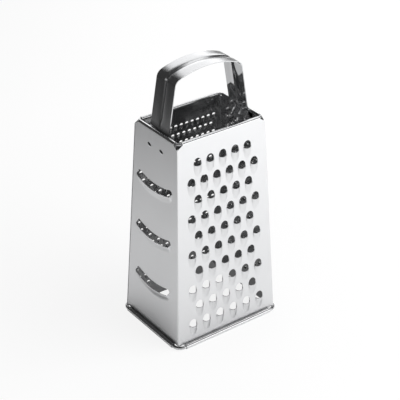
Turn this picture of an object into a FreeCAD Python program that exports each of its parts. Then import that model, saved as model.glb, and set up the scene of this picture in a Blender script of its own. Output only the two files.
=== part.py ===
import FreeCAD, Part
import math
import os
import re

import Sketcher

# Box grater in millimetres: +Z up, the coarse panel faces -Y, the origin is the centre of the base.
DOC = FreeCAD.newDocument("box_grater")
SHEET = DOC.addObject("Spreadsheet::Sheet", "Sizes")
HORIZONTAL_AXIS = -1
VERTICAL_AXIS = -2
START_POINT = 1
END_POINT = 2
CENTRE_POINT = 3
NO_LENGTH = 1e-9

SIZES = {
    # Body, measured on the outer faces of the panels
    "base_width": 100.0,
    "base_depth": 77.0,
    "top_width": 85.0,
    "top_depth": 57.5,
    "body_height": 184.0,
    "gauge": 0.5,
    "seat_gap": 0.05,
    "cut_overrun": 1.0,
    # Corner seams: the narrow panels fold round, inside the wide ones
    "bend_radius": 1.5,
    "flange_width": 5.0,
    "fold_facets": 3,
    # Top rim, rolled inward round a wire
    "top_bead": 3.4,
    "top_wire": 2.0,
    "top_roll": 285.0,
    "top_corner": 3.6,
    "notch_width": 5.0,
    "notch_depth": 5.0,
    # Base rim, rolled outward round a thicker wire
    "base_bead": 4.2,
    "base_wire": 2.8,
    "base_roll": 300.0,
    "base_corner": 6.0,
    "base_setback": 6.2,
    "base_flat": 0.12,
    "roll_facets": 10,
    "wire_sides": 6,
    # Coarse shredding teeth on the front: the gaps run from the outermost teeth to the panel's edges
    "coarse_rows": 10,
    "coarse_columns": 6,
    "coarse_start": 17.4,
    "coarse_side_gap": 15.0,
    "coarse_top_gap": 21.2,
    "coarse_tooth": 8.0,
    "coarse_lift": 2.4,
    "coarse_length": 9.0,
    "coarse_hole": 6.8,
    "coarse_wall": 0.4,
    "coarse_undercut": 3.0,
    "coarse_facets": 3,
    # Fine shredding teeth on the back
    "fine_rows": 19,
    "fine_columns": 14,
    "fine_start": 17.0,
    "fine_side_gap": 9.0,
    "fine_top_gap": 19.8,
    "fine_tooth": 3.4,
    "fine_lift": 1.1,
    "fine_length": 3.8,
    "fine_hole": 2.6,
    # Zesting burrs on the right
    "zest_rows": 30,
    "zest_columns": 5,
    "zest_start": 23.0,
    "zest_side_gap": 10.9,
    "zest_top_gap": 14.5,
    "zest_base": 5.0,
    "zest_hole": 3.2,
    "zest_lift": 0.9,
    # Slicing slots on the left
    "slot_count": 3,
    "slot_start": 41.3,
    "slot_side_gap": 15.5,
    "slot_top_gap": 49.8,
    "slot_open": 5.6,
    "slot_smile": 2.6,
    "slot_lift": 2.0,
    "slot_apron": 8.5,
    "slot_waist_share": 0.65,
    "slot_facets": 6,
    "slot_end_facets": 4,
    # Carrying handle, a strap with a pressed groove: rises and drops are measured from the top of the body
    "handle_rise": 49.5,
    "arch_radius": 78.0,
    "shoulder_radius": 7.0,
    "handle_lean": 9.5,
    "strap_width": 24.5,
    "strap_gauge": 0.8,
    "groove_width": 4.0,
    "groove_floor": 1.6,
    "groove_depth": 1.2,
    "groove_end_rise": 4.0,
    "jog_drop": 4.0,
    "foot_top_drop": 10.5,
    "foot_end_drop": 18.5,
    # Clinch marks that hold the strap's feet
    "clinch_drop": 14.4,
    "clinch_offset": 8.0,
    "clinch_length": 4.4,
    "clinch_apron": 2.4,
    "clinch_depth": 0.3,
    "clinch_slant": 22.0,
}

# Lengths that follow from the sizes above: a wide panel leans by lean_wide, a narrow one by lean_narrow
DERIVED = {
    "lean_wide": "atan((base_depth - top_depth) / 2 / body_height) / 1deg",
    "lean_narrow": "atan((base_width - top_width) / 2 / body_height) / 1deg",
    "top_level": "body_height - top_bead / 2",
    "base_level": "base_bead / 2 - base_flat",
    "tip_level": "base_level + base_wire / 2 + seat_gap",
    "top_ring_x": "base_width / 2 - top_level * tan(lean_narrow) - top_bead / 2 / cos(lean_narrow)",
    "top_ring_y": "base_depth / 2 - top_level * tan(lean_wide) - top_bead / 2 / cos(lean_wide)",
    "base_ring_x": "base_width / 2 - base_level * tan(lean_narrow)"
                   " + (base_bead / 2 - gauge) / cos(lean_narrow)",
    "base_ring_y": "base_depth / 2 - base_level * tan(lean_wide)"
                   " + (base_bead / 2 - gauge) / cos(lean_wide)",
    "seam_inset": "gauge / cos(lean_wide) + seat_gap",
    "rim_x": "top_ring_x - top_bead / 2 - seat_gap",
    "handle_height": "body_height + handle_rise",
    "groove_end": "body_height + groove_end_rise",
    "jog_top": "body_height - jog_drop",
    "foot_top": "body_height - foot_top_drop",
    "foot_end": "body_height - foot_end_drop",
    "clinch_height": "body_height - clinch_drop",
    "slot_width": "base_depth - 2 * slot_side_gap",
    "groove_end_x": "rim_x + (top_level - groove_end) * tan(handle_lean)",
    "jog_x": "rim_x + (top_level - jog_top) * tan(handle_lean)",
    "foot_top_x": "base_width / 2 - foot_top * tan(lean_narrow) - gauge / cos(lean_narrow) - seat_gap",
    "foot_end_x": "base_width / 2 - foot_end * tan(lean_narrow) - gauge / cos(lean_narrow) - seat_gap",
}


# Corners of the flat blank of each panel: x is half a width, y is measured up the slope of the panel
for kind, base, top, inset in (("wide", "base_width", "top_width", "0"),
                               ("narrow", "base_depth", "top_depth", "seam_inset")):
    lean = "lean_" + kind
    DERIVED.update({
        kind + "_base_y": "(base_level - (base_bead / 2 - gauge) * sin(%s)) / cos(%s)" % (lean, lean),
        kind + "_tip_y": "tip_level / cos(%s)" % lean,
        kind + "_top_y": "(top_level + top_bead / 2 * sin(%s)) / cos(%s)" % (lean, lean),
        kind + "_notch_y": "%s_top_y + top_bead / 2 - notch_depth" % kind,
        kind + "_taper": "(%s - %s) / 2 * cos(%s) / body_height" % (base, top, lean),
        kind + "_tip_x": "%s / 2 - %s - %s_tip_y * %s_taper" % (base, inset, kind, kind),
        kind + "_notch_x": "%s / 2 - %s - %s_notch_y * %s_taper" % (base, inset, kind, kind),
        kind + "_base_x": "%s / 2 - base_setback" % base,
        kind + "_top_x": "%s / 2 - notch_width" % top,
    })


# Pitches of the fields at the base line of their panels
for family, kind, base in (("coarse", "wide", "base_width"), ("fine", "wide", "base_width"),
                           ("zest", "narrow", "base_depth")):
    DERIVED.update({
        family + "_pitch": "({1} - 2 * {0}_side_gap) / ({0}_columns - 1)".format(family, base),
        family + "_row_pitch": "({1}_top_y - {0}_start - {0}_top_gap)"
                               " / ({0}_rows - 1)".format(family, kind),
    })
DERIVED["slot_pitch"] = "(narrow_top_y - slot_start - slot_top_gap) / (slot_count - 1)"


# Folds of a narrow panel: each runs along a line that leans by fold_angle in the panel's own plane
DERIVED.update({
    "fold_angle": "atan(narrow_taper) / 1deg",
    "fold_inset": "bend_radius / cos(fold_angle)",
    "fold_length": "(narrow_notch_y - narrow_tip_y) / cos(fold_angle)",
})


def fill_sheet():
    """Write the driving sizes and the derived ones as aliased cells."""
    cells = list(SIZES.items()) + [(name, "=" + formula) for name, formula in DERIVED.items()]
    for row, (name, content) in enumerate(cells, start=1):
        SHEET.set("A%d" % row, str(content))
        SHEET.setAlias("A%d" % row, name)
        DOC.recompute()


def size(name):
    """Return a cell's value as a plain number."""
    return float(SHEET.get(name))


def value(formula):
    """Return a formula over the sheet's names as a plain number."""
    return float(SHEET.evalExpression(formula))


def cell(formula):
    """Return a formula over the sheet's names in the form that other objects use."""
    def full_name(match):
        word = match.group()
        return "Sizes." + word if word in SIZES or word in DERIVED else word
    return re.sub("[a-z_]+", full_name, formula)


def bind(item, **formulas):
    """Bind properties of an object to formulas over the sheet."""
    for name, formula in formulas.items():
        item.setExpression(name, cell(formula))


def move(item, x="0", y="0", z="0"):
    """Bind the three coordinates of an object's place to formulas over the sheet."""
    for axis, formula in (("x", x), ("y", y), ("z", z)):
        item.setExpression(".Placement.Base." + axis, cell(formula))


def vector(x=0.0, y=0.0, z=0.0):
    """Return a point or a direction."""
    return FreeCAD.Vector(x, y, z)


# Sketches


def plane_sketch(body, role, name):
    """Return a new sketch of a body on one of its origin planes."""
    sketch = body.newObject("Sketcher::SketchObject", name)
    plane = [item for item in body.Origin.OriginFeatures if item.Role == role][0]
    sketch.AttachmentSupport = [(plane, "")]
    sketch.MapMode = "FlatFace"
    return sketch


def pin(sketch, index, point, x, y):
    """Bind a sketch point to two formulas, measured from the sketch's origin."""
    for kind, axis, formula in (("DistanceX", VERTICAL_AXIS, x), ("DistanceY", HORIZONTAL_AXIS, y)):
        distance = value(formula)
        if abs(distance) < NO_LENGTH:
            sketch.addConstraint(Sketcher.Constraint("PointOnObject", index, point, axis))
            continue
        number = sketch.addConstraint(
            Sketcher.Constraint(kind, HORIZONTAL_AXIS, START_POINT, index, point, distance))
        sketch.setExpression("Constraints[%d]" % number, cell(formula))


def outline(sketch, corners):
    """Draw a closed outline whose corners are pairs of formulas."""
    points = [vector(value(x), value(y)) for x, y in corners]
    following = [(index + 1) % len(points) for index in range(len(points))]
    for index, after in enumerate(following):
        sketch.addGeometry(Part.LineSegment(points[index], points[after]))
    for index, after in enumerate(following):
        sketch.addConstraint(Sketcher.Constraint("Coincident", index, END_POINT, after, START_POINT))
    for index, (x, y) in enumerate(corners):
        pin(sketch, index, START_POINT, x, y)


def both_sides(corners):
    """Return an outline that is alike left and right from the corners of its right half."""
    return corners + [("-(%s)" % x, y) for x, y in reversed(corners)]


# Panels, each in a frame of its own: x along the width, y up the slope, z outward, z = 0 the outer face


def sheet_pad(body, name, corners):
    """Pad an outline by the sheet's gauge, inward from the outer face."""
    sketch = plane_sketch(body, "XY_Plane", name + "_outline")
    outline(sketch, both_sides(corners))
    pad = body.newObject("PartDesign::Pad", name)
    pad.Profile = sketch
    pad.Reversed = True
    bind(pad, Length="gauge")
    DOC.recompute()


def flat_blank(name, kind, inset):
    """Return a panel's flat blank, with notched top corners and a tab for each roll."""
    body = DOC.addObject("PartDesign::Body", name + "_blank")
    sheet_pad(body, name + "_face", [
        (kind + "_base_x", kind + "_base_y"),
        (kind + "_base_x", kind + "_tip_y"),
        ("%s_tip_x - %s" % (kind, inset), kind + "_tip_y"),
        ("%s_notch_x - %s" % (kind, inset), kind + "_notch_y"),
        (kind + "_top_x", kind + "_top_y"),
    ])
    return body


def curl(y, z, radius, sweep, way, facets):
    """Return the points of a faceted curl as pairs of formulas, from straight up round a centre."""
    turns = ["(%s * %d / %s)" % (sweep, step, facets) for step in range(int(size(facets)) + 1)]
    return [("%s + %d * (%s) * sin%s" % (y, way, radius, turn),
             "%s + %d * (%s) * cos%s" % (z, way, radius, turn)) for turn in turns]


def fold(name):
    """Return the rounded fold and the flange on the right edge of a narrow panel."""
    body = DOC.addObject("PartDesign::Body", name)
    sketch = plane_sketch(body, "XZ_Plane", name + "_section")
    outer = curl("0", "-bend_radius", "bend_radius", "90", 1, "fold_facets")
    inner = curl("0", "-bend_radius", "bend_radius - gauge", "90", 1, "fold_facets")
    flange = [("bend_radius", "-flange_width"), ("bend_radius - gauge", "-flange_width")]
    outline(sketch, outer + flange + inner[::-1])
    pad = body.newObject("PartDesign::Pad", name + "_length")
    pad.Profile = sketch
    pad.Reversed = True
    bind(pad, Length="fold_length")
    bind(body, Placement="placement(vector(narrow_tip_x - fold_inset; narrow_tip_y; 0);"
         " rotation(fold_angle; 0; 0))")
    DOC.recompute()
    return body


def narrow_blank(name):
    """Return the pieces of a narrow panel's blank: the flat web and a fold on each edge."""
    right = fold(name + "_fold")
    left = DOC.addObject("Part::Mirroring", name + "_fold_mirrored")
    left.Source = right
    left.Normal = vector(x=1)
    return [flat_blank(name, "narrow", "fold_inset"), right, left]


def wide_blank(name):
    """Return the one flat piece of a wide panel's blank."""
    return [flat_blank(name, "wide", "0")]


def rolled_edge(name, diameter, sweep, way, half_length, y, z):
    """Return a rolled edge: a faceted C section along x that starts flush with the blank's edge."""
    body = DOC.addObject("PartDesign::Body", name)
    sketch = plane_sketch(body, "YZ_Plane", name + "_section")
    outer = curl(y, z, diameter + " / 2", sweep, way, "roll_facets")
    inner = curl(y, z, diameter + " / 2 - gauge", sweep, way, "roll_facets")
    outline(sketch, outer + inner[::-1])
    pad = body.newObject("PartDesign::Pad", name + "_length")
    pad.Profile = sketch
    pad.Midplane = True
    bind(pad, Length="2 * " + half_length)
    DOC.recompute()
    return body


def top_roll(name, kind):
    """Return the inward roll of a panel's top edge."""
    return rolled_edge(name + "_top_roll", "top_bead", "top_roll", 1,
                       kind + "_top_x", kind + "_top_y", "-top_bead / 2")


def base_roll(name, kind):
    """Return the outward roll of a panel's bottom edge, with the narrow flat that it stands on."""
    roll = rolled_edge(name + "_base_tube", "base_bead", "base_roll", -1,
                       kind + "_base_x", kind + "_base_y", "base_bead / 2 - gauge")
    ground = DOC.addObject("Part::Box", name + "_ground")
    bind(ground, Length="2 * (%s_base_x + cut_overrun)" % kind, Width="cut_overrun", Height="2 * base_bead")
    bind(ground, Placement="placement(vector(-{0}_base_x - cut_overrun;"
         " base_bead * sin(lean_{0}) - cut_overrun * cos(lean_{0});"
         " -base_bead * cos(lean_{0}) - cut_overrun * sin(lean_{0}));"
         " rotation(0; 0; lean_{0}))".format(kind))
    stand = DOC.addObject("Part::Cut", name + "_base_roll")
    stand.Base = roll
    stand.Tool = ground
    return stand


def pyramid(corners, tip):
    """Return a pyramid from the corners of its base and its tip."""
    return Part.makeLoft([Part.makePolygon(corners + corners[:1]), Part.Vertex(tip)], True, True)


def prism(corners, way):
    """Return a prism from the corners of its base and the way to its top."""
    return Part.Face(Part.makePolygon(corners + corners[:1])).extrude(way)


def half_ring(half_width, height, facets):
    """Return points over a half ellipse from +x to -x, as pairs of width and height."""
    angles = [math.pi * step / facets for step in range(facets + 1)]
    return [(half_width * math.cos(angle), height * math.sin(angle)) for angle in angles]


def coarse_tooth():
    """Return the raised scoop of a coarse tooth and the slanted punch that opens it."""
    half_width = size("coarse_tooth") / 2
    lift = size("coarse_lift")
    wall = size("coarse_wall")
    facets = int(size("coarse_facets"))
    root = -size("gauge") / 2
    mouth = [vector(half_width, 0, root)]
    mouth += [vector(x, 0, z) for x, z in half_ring(half_width, lift, facets)]
    mouth += [vector(-half_width, 0, root)]
    scoop = pyramid(mouth, vector(0, -size("coarse_length"), root))
    undercut = size("coarse_undercut")
    slant = undercut / (lift - wall)
    above = half_ring(half_width - wall, size("coarse_hole"), facets)
    below = half_ring(half_width - wall, undercut, facets)
    ring = above[:-1] + [(-x, -y) for x, y in below[:-1]]
    depth = size("gauge") + size("cut_overrun")
    corners = [vector(x, y - slant * depth, -depth) for x, y in ring]
    return scoop, prism(corners, vector(0, slant, 1) * (depth + lift + size("gauge")))


def fine_tooth():
    """Return the raised wedge of a fine tooth and the three-cornered punch over it."""
    half_width = size("fine_tooth") / 2
    lift = size("fine_lift")
    root = -size("gauge") / 2
    mouth = [vector(half_width, 0, root), vector(half_width), vector(z=lift),
             vector(-half_width), vector(-half_width, 0, root)]
    wedge = pyramid(mouth, vector(0, -size("fine_length"), root))
    depth = size("gauge") + size("cut_overrun")
    corners = [vector(half_width), vector(y=size("fine_hole")), vector(-half_width)]
    return wedge, prism([corner - vector(z=depth) for corner in corners], vector(z=2 * depth + lift))


def burr():
    """Return the raised burr of a zesting hole and the three-cornered punch that opens it."""
    half_base = size("zest_base") / 2
    half_hole = size("zest_hole") / 2
    rise = size("zest_lift") / (half_base - half_hole)
    root = -size("gauge") / 2
    depth = size("gauge") + size("cut_overrun")
    spokes = [FreeCAD.Rotation(vector(z=1), turn).multVec(vector(y=1)) for turn in (0, 120, 240)]
    reach = half_base - root / rise
    mound = pyramid([spoke * reach + vector(z=root) for spoke in spokes], vector(z=half_base * rise))
    hole = [spoke * half_hole - vector(z=depth) for spoke in spokes]
    return mound, prism(hole, vector(z=2 * depth + half_base * rise))


def staggered_places(family, kind, base):
    """Return the places of a staggered field that narrows with its panel, lowest row first."""
    places = []
    half_base = size(base) / 2
    for row in range(int(size(family + "_rows"))):
        level = size(family + "_start") + row * size(family + "_row_pitch")
        pitch = size(family + "_pitch") * (1 - level * size(kind + "_taper") / half_base)
        count = int(size(family + "_columns")) - row % 2
        for column in range(count):
            places.append(vector((column - (count - 1) / 2) * pitch, level))
    return places


def under_foot(place):
    """Tell whether a zesting hole would open behind a foot of the strap."""
    half_hole = size("zest_hole") / 2
    high = place.y + half_hole > size("foot_end") / math.cos(math.radians(size("lean_narrow")))
    return high and abs(place.x) - half_hole < size("strap_width") / 2


def shallow_arch(half_width, height):
    """Return points over a shallow arch from -x to +x, as pairs of width and height."""
    facets = int(size("slot_facets"))
    shares = [2 * step / facets - 1 for step in range(facets + 1)]
    return [(half_width * share, height * (1 - share ** 2)) for share in shares]


def slot_bulge():
    """Return the bulged lip of a slicing slot about the lip's middle, with flat facets."""
    half_width = size("slot_width") / 2
    end_level = size("slot_smile") + size("slot_open") / 2
    waist_share = size("slot_waist_share")
    waist_drop = (end_level + size("slot_apron")) * math.sqrt(1 - waist_share ** 2)
    root = -size("gauge") / 2
    crest = (size("slot_lift") - root) / (1 - (1 - waist_share) * end_level / waist_drop)
    sections = []
    for share, level in ((1, end_level), (waist_share, end_level - waist_drop)):
        arch = shallow_arch(half_width * share, crest * share)
        points = [vector(x, level, root + z) for x, z in arch]
        sections.append(Part.makePolygon(points + points[:1]))
    return Part.makeLoft(sections + [Part.Vertex(vector(0, -size("slot_apron"), root))], True, True)


def slot_window():
    """Return the punch of a slicing slot: two smiling edges and round ends."""
    opening = size("slot_open")
    smile = size("slot_smile")
    arc_end = size("slot_width") / 2 - opening / 2
    low = [(x, smile - y) for x, y in shallow_arch(arc_end, smile)]
    high = [(x, y + opening) for x, y in low[::-1]]
    end = half_ring(opening / 2, opening / 2, int(size("slot_end_facets")))[1:-1]
    right = [(arc_end + bulge, smile + opening / 2 - rise) for rise, bulge in end]
    left = [(-x, y) for x, y in right[::-1]]
    depth = size("gauge") + size("cut_overrun")
    corners = [vector(x, y, -depth) for x, y in low + right + high + left]
    return prism(corners, vector(z=2 * (depth + size("slot_lift"))))


def slot():
    """Return the bulged lip of a slicing slot and the punch that opens it."""
    bulge = slot_bulge()
    hollow = bulge.translated(vector(z=-size("gauge")))
    return bulge, slot_window().fuse(hollow).Solids[0]


def clinch_marks():
    """Return the two wedge-shaped punches that dent a narrow panel over a foot of the strap."""
    half_length = size("clinch_length") / 2
    drop = size("clinch_apron")
    depth = size("clinch_depth")
    spread = 1 + size("cut_overrun") / depth
    tip = vector(z=-depth)
    corners = []
    for x, y in ((half_length, 0), (0, -drop), (-half_length, 0)):
        corners.append(tip + (vector(x, y) - tip) * spread)
    dent = pyramid(corners, tip + vector(y=-depth))
    dent.rotate(vector(), vector(z=1), -size("clinch_slant"))
    level = size("clinch_height") / math.cos(math.radians(size("lean_narrow")))
    return [dent.translated(vector(side * size("clinch_offset"), level)) for side in (-1, 1)]


def pattern(name, shapes):
    """Return a document object that holds a list of shapes."""
    feature = DOC.addObject("Part::Feature", name)
    feature.Shape = Part.makeCompound(shapes)
    return feature


def panel(name, kind, yaw, place, raised, punches):
    """Join a panel's blank, rolls and raised forms, punch it, and set it in its place."""
    pieces = wide_blank(name) if kind == "wide" else narrow_blank(name)
    pieces += [top_roll(name, kind), base_roll(name, kind), pattern(name + "_raised", raised)]
    joined = DOC.addObject("Part::MultiFuse", name + "_joined")
    joined.Shapes = pieces
    finished = DOC.addObject("Part::Cut", name)
    finished.Base = joined
    finished.Tool = pattern(name + "_punches", punches)
    bind(finished, Placement="placement(vector(%s; %s; 0);"
         " rotation(%d; 0; 90 - lean_%s))" % (*place, yaw, kind))
    return finished


def copies(shape, places):
    """Return a copy of a shape at each of a list of places."""
    return [shape.translated(place) for place in places]


def front_coarse_panel():
    """Return the front panel with its coarse teeth."""
    scoop, punch = coarse_tooth()
    places = staggered_places("coarse", "wide", "base_width")
    return panel("front_coarse_panel", "wide", 0, ("0", "-base_depth / 2"),
                 copies(scoop, places), copies(punch, places))


def back_fine_panel():
    """Return the back panel with its fine teeth."""
    wedge, punch = fine_tooth()
    places = staggered_places("fine", "wide", "base_width")
    return panel("back_fine_panel", "wide", 180, ("0", "base_depth / 2"),
                 copies(wedge, places), copies(punch, places))


def left_slicer_panel():
    """Return the left panel with its slicing slots."""
    bulge, window = slot()
    numbers = range(int(size("slot_count")))
    places = [vector(y=size("slot_start") + number * size("slot_pitch")) for number in numbers]
    return panel("left_slicer_panel", "narrow", -90, ("-base_width / 2", "0"),
                 copies(bulge, places), copies(window, places) + clinch_marks())


def right_zester_panel():
    """Return the right panel with its zesting burrs."""
    mound, hole = burr()
    field = staggered_places("zest", "narrow", "base_depth")
    places = [place for place in field if not under_foot(place)]
    return panel("right_zester_panel", "narrow", 90, ("base_width / 2", "0"),
                 copies(mound, places), copies(hole, places) + clinch_marks())


# Rim wires


def wire_ring(name, diameter, corner, half_x, half_y, level):
    """Return a rectangular wire ring with round corners, about its centre line."""
    pieces = []
    for number in range(4):
        long_half, cross_half = (half_x, half_y) if number % 2 == 0 else (half_y, half_x)
        turn = FreeCAD.Rotation(vector(z=1), 90 * number)
        start = turn.multVec(vector(-1, -1))
        along, across = ("%s - %s" % (long_half, corner), cross_half)
        local_x, local_y = (along, across) if number % 2 == 0 else (across, along)
        run = DOC.addObject("Part::Prism", "%s_run_%d" % (name, number))
        bind(run, Height="2 * (%s - %s)" % (long_half, corner))
        section = DOC.addObject("Part::RegularPolygon", "%s_section_%d" % (name, number))
        for item in (run, section):
            bind(item, Polygon="wire_sides", Circumradius=diameter + " / 2")
            item.Placement.Rotation = turn.multiply(FreeCAD.Rotation(vector(y=1), 90))
            move(item, "%d * (%s)" % (round(start.x), local_x),
                 "%d * (%s)" % (round(start.y), local_y), level)
        bend = DOC.addObject("Part::Revolution", "%s_bend_%d" % (name, number))
        bend.Source = section
        bend.Axis = vector(z=-1)
        bend.Angle = 90
        bend.Solid = True
        bend.setExpression(".Base.x", cell("%d * (%s - %s)" % (round(start.x), half_x, corner)))
        bend.setExpression(".Base.y", cell("%d * (%s - %s)" % (round(start.y), half_y, corner)))
        pieces += [run, bend]
    ring = DOC.addObject("Part::MultiFuse", name)
    ring.Shapes = pieces
    return ring


def top_rim_wire():
    """Return the wire inside the top rolls."""
    return wire_ring("top_rim_wire", "top_wire", "top_corner", "top_ring_x", "top_ring_y", "top_level")


def base_rim_wire():
    """Return the wire inside the base rolls."""
    return wire_ring("base_rim_wire", "base_wire", "base_corner", "base_ring_x", "base_ring_y", "base_level")


# Handle


def handle_path(body):
    """Return the outer line of half the handle: arch, shoulder and leg down to the groove's end."""
    sketch = plane_sketch(body, "XZ_Plane", "handle_path")
    lean = math.radians(size("handle_lean"))
    arch_centre = vector(y=size("handle_height") - size("arch_radius"))
    leg_end = vector(size("groove_end_x"), size("groove_end"))
    upward = vector(-math.sin(lean), math.cos(lean))
    inward = vector(-math.cos(lean), -math.sin(lean))
    offset = leg_end + inward * size("shoulder_radius") - arch_centre
    reach = size("arch_radius") - size("shoulder_radius")
    along = offset.dot(upward)
    climb = math.sqrt(along ** 2 - offset.dot(offset) + reach ** 2) - along
    shoulder_centre = arch_centre + offset + upward * climb
    leg_angle = math.atan2(-inward.y, -inward.x)
    outward = shoulder_centre - arch_centre
    arch_angle = math.atan2(outward.y, outward.x)
    normal = vector(z=1)
    arch_circle = Part.Circle(arch_centre, normal, size("arch_radius"))
    shoulder_circle = Part.Circle(shoulder_centre, normal, size("shoulder_radius"))
    arch = sketch.addGeometry(Part.ArcOfCircle(arch_circle, arch_angle, math.pi / 2))
    shoulder = sketch.addGeometry(Part.ArcOfCircle(shoulder_circle, leg_angle, arch_angle))
    leg = sketch.addGeometry(Part.LineSegment(leg_end, leg_end + upward * climb))
    sketch.addConstraint(Sketcher.Constraint("Tangent", arch, START_POINT, shoulder, END_POINT))
    sketch.addConstraint(Sketcher.Constraint("Tangent", shoulder, START_POINT, leg, END_POINT))
    pin(sketch, arch, CENTRE_POINT, "0", "handle_height - arch_radius")
    sketch.addConstraint(Sketcher.Constraint("PointOnObject", arch, END_POINT, VERTICAL_AXIS))
    pin(sketch, leg, START_POINT, "groove_end_x", "groove_end")
    for curve, radius in ((arch, "arch_radius"), (shoulder, "shoulder_radius")):
        number = sketch.addConstraint(Sketcher.Constraint("Radius", curve, size(radius)))
        sketch.setExpression("Constraints[%d]" % number, cell(radius))
    number = sketch.addConstraint(Sketcher.Constraint("Angle", leg, math.pi / 2 + lean))
    sketch.setExpression("Constraints[%d]" % number, cell("(90 + handle_lean) * 1deg"))
    return sketch


def strap_section(body):
    """Return the strap's section at the top of the arch, with its pressed groove."""
    sketch = plane_sketch(body, "YZ_Plane", "strap_section")
    outline(sketch, both_sides([
        ("groove_floor / 2", "handle_height - groove_depth"),
        ("groove_width / 2", "handle_height"),
        ("strap_width / 2", "handle_height"),
        ("strap_width / 2", "handle_height - strap_gauge"),
        ("(groove_width + strap_gauge) / 2", "handle_height - strap_gauge"),
        ("(groove_floor + strap_gauge) / 2", "handle_height - groove_depth - strap_gauge"),
    ]))
    return sketch


def strap_foot_outline(body):
    """Return the side outline of the plain end of the strap, with its jog behind the rim."""
    sketch = plane_sketch(body, "XZ_Plane", "strap_foot_outline")
    leg_inset = "strap_gauge / cos(handle_lean)"
    foot_inset = "strap_gauge / cos(lean_narrow)"
    outline(sketch, [
        ("groove_end_x", "groove_end"),
        ("jog_x", "jog_top"),
        ("foot_top_x", "foot_top"),
        ("foot_end_x", "foot_end"),
        ("foot_end_x - " + foot_inset, "foot_end"),
        ("foot_top_x - " + foot_inset, "foot_top"),
        ("jog_x - " + leg_inset, "jog_top"),
        ("groove_end_x - strap_gauge * cos(handle_lean)", "groove_end - strap_gauge * sin(handle_lean)"),
    ])
    return sketch


def handle_strap():
    """Return the bent strap: half of it is swept and padded, then mirrored."""
    body = DOC.addObject("PartDesign::Body", "handle_strap")
    section = strap_section(body)
    path = handle_path(body)
    DOC.recompute()
    arch = body.newObject("PartDesign::AdditivePipe", "strap_arch")
    arch.Profile = section
    arch.Spine = (path, ["Edge1", "Edge2", "Edge3"])
    DOC.recompute()
    foot_outline = strap_foot_outline(body)
    foot = body.newObject("PartDesign::Pad", "strap_foot")
    foot.Profile = foot_outline
    foot.Midplane = True
    bind(foot, Length="strap_width")
    DOC.recompute()
    mirrored = body.newObject("PartDesign::Mirrored", "strap_halves")
    mirrored.Originals = [arch, foot]
    mirrored.MirrorPlane = (foot_outline, ["V_Axis"])
    body.Tip = mirrored
    DOC.recompute()
    return body


def write(nodes):
    """Check every object of the document and write one file for each node."""
    DOC.recompute()
    for item in DOC.Objects:
        if "Invalid" in item.State or "Error" in item.State:
            raise RuntimeError("failed: " + item.Label)
    os.makedirs("parts", exist_ok=True)
    for node in nodes:
        shape = node.Shape
        if shape.isNull() or not shape.isValid() or len(shape.Solids) != 1:
            raise RuntimeError("bad solid: " + node.Label)
        shape.exportStep("parts/%s.step" % node.Label)
        print(node.Label, "volume", round(shape.Volume, 1), "faces", len(shape.Faces))


fill_sheet()
write([
    front_coarse_panel(),
    left_slicer_panel(),
    back_fine_panel(),
    right_zester_panel(),
    top_rim_wire(),
    base_rim_wire(),
    handle_strap(),
])
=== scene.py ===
import logging
import math
from dataclasses import dataclass
from enum import Enum
from typing import Callable

import bmesh
import bpy
from mathutils import Matrix, Vector


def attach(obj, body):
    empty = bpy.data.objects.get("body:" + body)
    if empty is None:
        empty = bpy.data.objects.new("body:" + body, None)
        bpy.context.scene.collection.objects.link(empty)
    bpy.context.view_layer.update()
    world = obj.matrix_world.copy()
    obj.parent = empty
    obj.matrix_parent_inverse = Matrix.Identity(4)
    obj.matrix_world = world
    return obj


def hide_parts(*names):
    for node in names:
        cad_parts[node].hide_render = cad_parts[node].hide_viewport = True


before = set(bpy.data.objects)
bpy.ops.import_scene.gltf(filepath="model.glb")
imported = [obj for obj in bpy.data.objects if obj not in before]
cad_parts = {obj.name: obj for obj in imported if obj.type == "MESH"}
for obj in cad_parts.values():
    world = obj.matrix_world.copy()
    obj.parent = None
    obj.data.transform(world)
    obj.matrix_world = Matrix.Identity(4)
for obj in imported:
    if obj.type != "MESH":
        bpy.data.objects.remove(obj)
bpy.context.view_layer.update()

LOG = logging.getLogger("box_grater")
BODY = "root"
ON_PLANE = 1e-7
MERGE_DISTANCE = 1e-6
ROUND_OFF = 1e-6
SHARP_ANGLE = math.radians(32)
QUARTER_TURN = math.pi / 2

BMesh = bmesh.types.BMesh
BMVert = bmesh.types.BMVert
BMEdge = bmesh.types.BMEdge
BMFace = bmesh.types.BMFace
Triple = tuple[float, float, float]
Socket = bpy.types.NodeSocket
Feed = Socket | float | Triple | Vector


class Side(Enum):
    """The four faces of the grater, with the turn about Z that brings the front to each."""

    FRONT = 0
    RIGHT = 90
    BACK = 180
    LEFT = -90

    @property
    def wide(self) -> bool:
        """Tell whether this is one of the two wide faces."""
        return self in (Side.FRONT, Side.BACK)


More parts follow.
